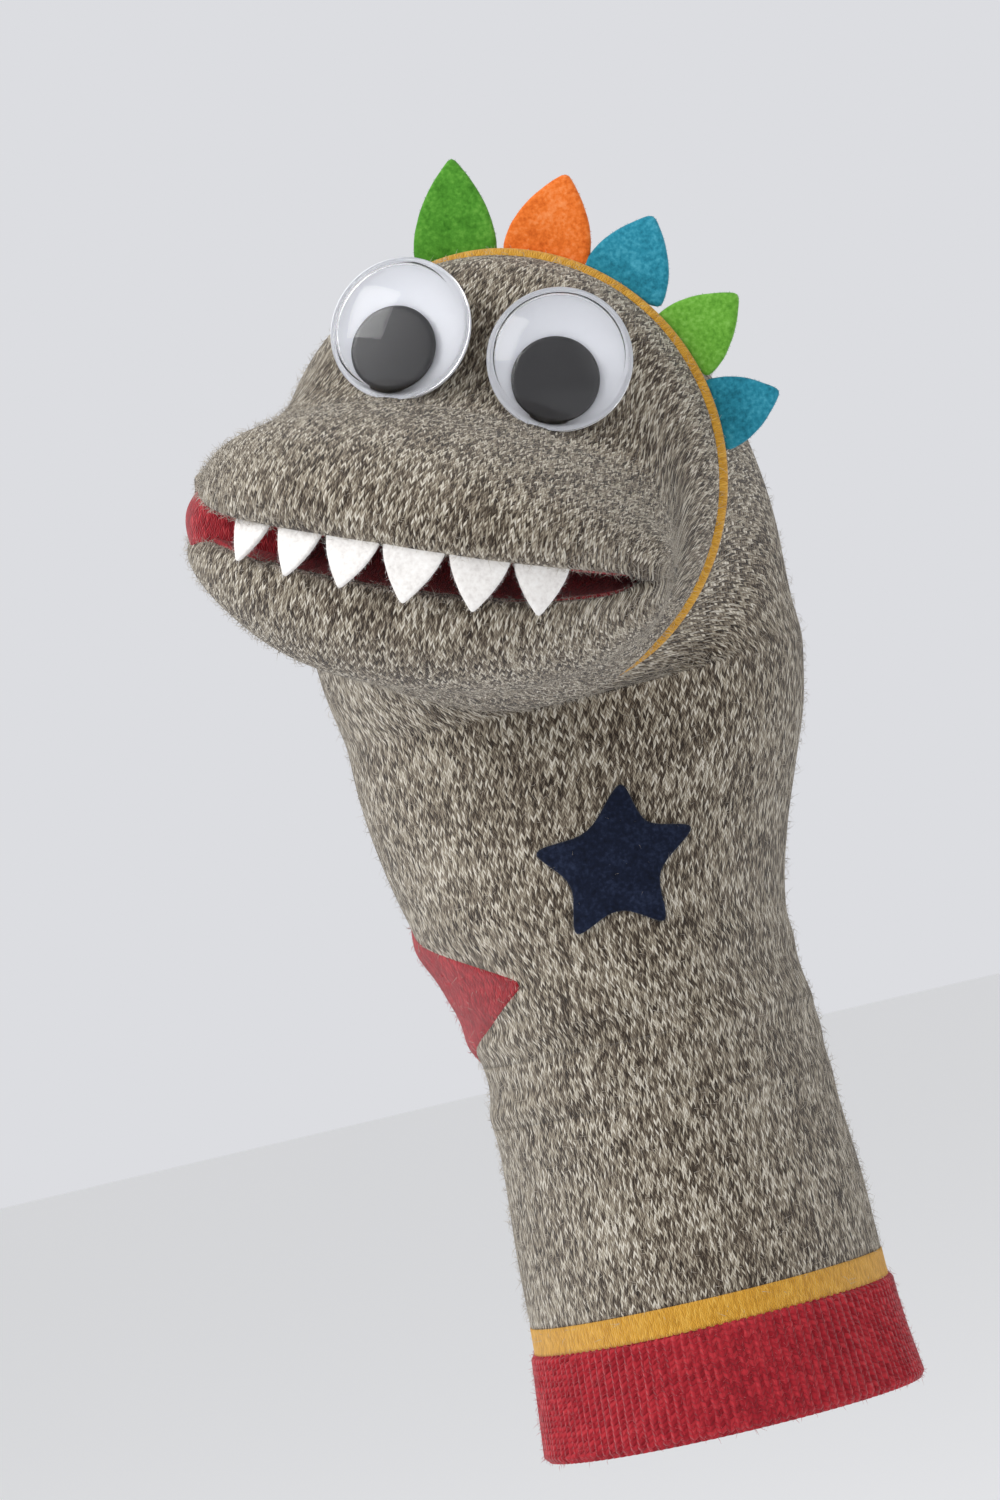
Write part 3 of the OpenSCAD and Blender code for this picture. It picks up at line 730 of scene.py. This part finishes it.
teeth, spikes = [], []
TOOTH_FELT, SPIKE_THICK, STAR_FELT = 1.2, 1.5, 1.1
TOOTH_NUDGE = [1.0, 0.7, 0.6, 1.3, 2.2, 1.8]      # along the lip from the solid tooth
TOOTH_W = [8.6, 8.8, 9.8, 10.8, 10.6, 10.2]
TOOTH_TALL = [8.0, 9.0, 9.4, 10.4, 10.2, 9.6]
LIP_W, LIP_REACH = MOUTH_W - 2.4, REACH - 1.2     # half sizes of the oval the teeth stand on
for i in range(6):
    mid = node_middle(f"tooth_{i + 1}") - [0, RING_Y, HEAD_Z]
    x = mid[0] * math.cos(TILT) - mid[2] * math.sin(TILT) + TOOTH_NUDGE[i] - MUZZLE_X
    fwd = LIP_REACH * math.sqrt(1 - (x / LIP_W) ** 2)
    turn = math.atan2(LIP_REACH * LIP_REACH * x, LIP_W * LIP_W * fwd)

    def hang(u, v, w, x=x, fwd=fwd, turn=turn):
        """Across the tooth, down it, and through it: it leans out over the lower lip towards its tip."""
        lean = 0.2 * v + 0.008 * v**2
        nx, nf = math.sin(turn), math.cos(turn)
        out = [x + u * nf + (w + lean) * nx, CORNER_F + fwd - u * nx + (w + lean) * nf,
               -MOUTH_DROP + 1.0 - v]
        return from_head(*lifted(*out))
    shape = outline_leaf(TOOTH_W[i], TOOTH_TALL[i], 0.06)[::-1]
    teeth.append(felt_piece(f"felt_tooth_{i + 1}", shape, TOOTH_FELT, hang, FELTS["white"], 40 + i))

SPIKE_FELT = ["green", "orange", "teal", "light_green", "teal"]
SPIKE_SIZE = [(14.6, 18.4), (15.2, 15.8), (15.2, 14.6), (13.6, 14.0), (12.4, 12.8)]
SPIKE_PLACE = [(-23, -14), (0.5, 2.5), (22, 13), (43.5, 36), (63, 58)]
for i, ((w, h), (place_deg, lean_deg)) in enumerate(zip(SPIKE_SIZE, SPIKE_PLACE)):
    place_a, lean_a = math.radians(place_deg), math.radians(lean_deg)

    def stand(u, v, d, place_a=place_a, lean_a=lean_a, i=i):
        """Foot on the crown, leant along the crown, with a slight curl back towards the tip."""
        foot_x, foot_up = (HEAD_R - 0.4) * math.sin(place_a) + SHIFT, (HEAD_R - 0.4) * math.cos(place_a)
        curl = 0.004 * (1 + (i % 2)) * v**2
        return from_head(foot_x + u * math.cos(lean_a) + v * math.sin(lean_a), -1.6 - d - curl,
                         foot_up - u * math.sin(lean_a) + v * math.cos(lean_a))
    spikes.append(felt_piece(f"felt_spike_{i + 1}", outline_leaf(w, h, 0.42), SPIKE_THICK, stand,
                             FELTS[SPIKE_FELT[i]], 60 + i))

star_mid = node_middle("star")
STAR_S, STAR_T = star_mid[2] - 1.6, math.radians(270 + 17)
corner_angle = np.radians(86 + 36 * np.arange(11))
STAR_R, STAR_WAIST, NECK_R, STAR_PROUD = 15.0, 0.47, 32.5, 0.55
corner_r = STAR_R * np.where(np.arange(11) % 2, STAR_WAIST, 1.0)
corner_xy = np.stack([corner_r * np.cos(corner_angle), corner_r * np.sin(corner_angle)], -1)
steps = np.linspace(0, 1, 9)[:-1, None]
star_line = np.concatenate([a + (b - a) * steps for a, b in zip(corner_xy[:-1], corner_xy[1:])])


def on_neck(u, v, d):
    """Flat sheet laid on the neck: across becomes angle, up becomes run, and thickness goes outwards."""
    return tube(STAR_T + u / NECK_R, STAR_S + v, d + STAR_PROUD)


star = felt_piece("felt_star", star_line, STAR_FELT, on_neck, FELTS["navy"], 80, 420, 7)
print("felt pieces", len(teeth) + len(spikes) + 1)


# %% [markdown]
# ## Eyes
# A googly eye is a thin clear dome glued to a white disc with a loose black disc inside. Each
# is a profile turned about the eye's axis, which is the axis of the pupil's joint.

# %% Eyes
def basis(axis):
    """Two directions square to an axis, the second as near up as it can be."""
    axis = np.array(axis) / np.linalg.norm(axis)
    side = np.cross((0.0, 0.0, 1.0), axis)
    side /= np.linalg.norm(side)
    return side, np.cross(axis, side), axis


def turned(name, profile, centre, axis, finish, count=96):
    """Profile of (radius, height) points turned about an axis; the first and last lie near the axis."""
    side, up, axis = basis(axis)
    a = np.linspace(0, 2 * np.pi, count, endpoint=False)
    r, h = np.array(profile).T
    ring = np.cos(a)[:, None] * side + np.sin(a)[:, None] * up
    p = centre + r[:, None, None] * ring + h[:, None, None] * axis
    ids = np.arange(len(r) * count).reshape(len(r), count)
    faces = quads(len(r), count, True).tolist() + [ids[0, ::-1].tolist(), ids[-1].tolist()]
    return add_piece(name, p.reshape(-1, 3), faces, finish)


eyes = {}
for side_name in ("left", "right"):
    joint = JOINTS[f"{side_name}_pupil_roll"]
    centre, axis = np.array(joint["pos_m"]) * 1000, np.array(joint["axis"])
    low, high = box_mm(f"{side_name}_eye_back")
    r = max(high - low) / 2 + 0.05
    back = [(0.02, -1.1), (r - 0.5, -1.1), (r - 0.12, -0.98), (r, -0.6), (r, -0.2), (r - 0.15, 0),
            (r - 0.9, 0), (r - 1.2, -0.25), (0.02, -0.25)]
    cap = np.linspace(0, 1, 22)
    outer = [(r - 1.0 - (r - 1.0) * q + 0.02 * q, 1.9 + 3.0 * (1 - (1 - q) ** 2.3)) for q in cap]
    rim = [(r - 0.9, 0.02), (r - 0.1, 0.02), (r, 0.15), (r, 0.6), (r - 0.15, 0.8), (r - 0.6, 0.9),
           (r - 0.85, 1.3)]
    inner = [(max(x - 0.45, 0.02), z - 0.45) for x, z in outer[::-1]]
    dome_profile = [(0.02, inner[0][1])] + inner[1:] + [(r - 1.3, 0.02)] + rim + outer
    pupil_low, pupil_high = box_mm(f"{side_name}_pupil")
    pr = max(pupil_high - pupil_low) / 2 + 0.05
    disc = [(0.02, 0), (pr - 0.25, 0), (pr, 0.15), (pr, 0.5), (pr - 0.3, 0.75), (pr - 1.0, 0.8),
            (0.02, 0.8)]
    mid = (pupil_low + pupil_high) / 2
    mid = mid - axis * ((mid - centre) @ axis) + axis * 0.3
    eyes[side_name] = (turned(f"{side_name}_eye_disc", back, centre, axis, white_plastic),
                       turned(f"{side_name}_black_disc", disc, mid, axis, black_plastic),
                       turned(f"{side_name}_clear_dome", dome_profile, centre, axis, clear_plastic))
    print(side_name, "eye radius", round(r, 2), "pupil radius", round(pr, 2))

# %% [markdown]
# ## What rides on what
# A skin that crosses a joint, and everything glued to it, stays where it is and rides on no body. The
# rest ride on one body.


def attach(piece, body, nodes):
    """Rides on one body and stands for its nodes."""
    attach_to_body(piece, body)
    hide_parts(*nodes)


def attach_bent(piece, nodes):
    """Bakes the piece's place into its mesh and stands for its nodes; it rides on no body."""
    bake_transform(piece)
    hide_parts(*nodes)


attach(cuff, "leg", ["cuff"])
attach(band, "leg", ["cuff_band"])
attach_bent(leg, ["leg_sleeve"])
attach(wrist, "wrist", ["wrist_sleeve"])
for piece, name, slot in ((neck, "neck_sleeve", "marl_knit"), (heel, "heel_patch", "red_knit"),
                          (star, "star", "navy_felt")):
    attach_bent(piece, [name])
attach(head_top, "head", ["head_top"])
attach(stripe, "head", ["head_stripe"])
attach(roof, "head", ["mouth_roof"])
attach(floor_of_mouth, "jaw", ["mouth_floor"])
gusset_mid = from_head(-MOUTH_W, CORNER_F + 12, -MOUTH_DROP + 4) * MM
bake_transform(gusset)
attach_bent(lower_jaw,
            ["lower_jaw"])
for i, piece in enumerate(teeth):
    attach(piece, "head", [f"tooth_{i + 1}"])
for i, piece in enumerate(spikes):
    attach(piece, "head", [f"spike_{i + 1}"])
for side_name, (back, disc, dome) in eyes.items():
    attach(back, "head", [f"{side_name}_eye_back"])
    attach(disc, f"{side_name}_disc", [f"{side_name}_pupil"])
    attach(dome, "head", [f"{side_name}_dome"])
print("pieces attached")

# %% [markdown]
# ## Floor, light and camera
# A pale floor far enough below to show only a soft shadow, an even sky, one large soft lamp and a weak
# one opposite it. The camera stands off to the puppet's left and is rolled, so the forearm leans as it
# does on a raised arm.

# %% Stage
FLOOR_R, FLOOR_Z, FLOOR_SIDES = 6, -0.16, 96     # metres
mesh = bpy.data.meshes.new("floor")
a = np.linspace(0, 2 * np.pi, FLOOR_SIDES, endpoint=False)
edge = np.column_stack([FLOOR_R * np.cos(a), FLOOR_R * np.sin(a), np.full(FLOOR_SIDES, FLOOR_Z)])
mesh.from_pydata(edge.tolist(), [], [list(range(FLOOR_SIDES))])
mesh.materials.append(material("pale_floor_paint", 0.9, Base_Color=linear("#F4F5F8"))[0])
floor = bpy.data.objects.new("floor", mesh)
bpy.context.scene.collection.objects.link(floor)

world = bpy.data.worlds.new("studio")
bpy.context.scene.world = world
world.use_nodes = True
tree = world.node_tree
for n in list(tree.nodes):
    tree.nodes.remove(n)
rays = node(tree, "ShaderNodeLightPath")
seen = sums(tree, "MAXIMUM", rays.outputs["Is Camera Ray"], rays.outputs["Is Transmission Ray"])
sky = node(tree, "ShaderNodeBackground", in_Color=linear("#FFFFFF"), in_Strength=0.72)
shown = node(tree, "ShaderNodeBackground", in_Color=linear("#DCDDE1"), in_Strength=1.0)
both = node(tree, "ShaderNodeMixShader", {0: seen, 1: sky.outputs[0], 2: shown.outputs[0]})
node(tree, "ShaderNodeOutputWorld", {0: both.outputs[0]})


def stood(side, up, back, place):
    """The matrix of a thing whose own axes and place are given."""
    return Matrix(np.vstack([np.column_stack([side, up, back, place]), [0, 0, 0, 1]]).tolist())


def lamp(name, place, aim, size, power_w):
    """A square area lamp at a place, turned to face its aim."""
    data = bpy.data.lights.new(name, "AREA")
    data.size, data.energy = size, power_w
    obj = bpy.data.objects.new(name, data)
    bpy.context.scene.collection.objects.link(obj)
    away = np.array(place) - np.array(aim)
    obj.matrix_world = stood(*basis(away), place)


AZIMUTH, ROLL, FAR, SEEN_HIGH = math.radians(14), math.radians(13.25), 1.5, 0.2555
AIM_RIGHT, AIM_TOWARD, AIM_UP = -0.0141, 0.045, 0.1237
toward = np.array([math.sin(AZIMUTH), -math.cos(AZIMUTH), 0.0])
right = np.array([math.cos(AZIMUTH), math.sin(AZIMUTH), 0.0])
level_up = np.array([0, 0, 1.0])
look = right * AIM_RIGHT + toward * AIM_TOWARD + level_up * AIM_UP
lamp("window", (-0.9, -0.8, 1.3), look, 1.1, 19.0)
lamp("fill", (1.2, -1.0, 0.5), look, 1.0, 1.5)

place = look + toward * FAR
cam_right = right * math.cos(ROLL) - level_up * math.sin(ROLL)
cam_up = right * math.sin(ROLL) + level_up * math.cos(ROLL)
data = bpy.data.cameras.new("camera")
data.sensor_fit = "VERTICAL"
data.angle = 2 * math.atan(SEEN_HIGH / 2 / FAR)
camera = bpy.data.objects.new("camera", data)
bpy.context.scene.collection.objects.link(camera)
camera.matrix_world = stood(cam_right, cam_up, toward, place)
bpy.context.scene.camera = camera
bpy.context.scene.view_settings.view_transform = "Standard"
print("camera at", place.round(3))
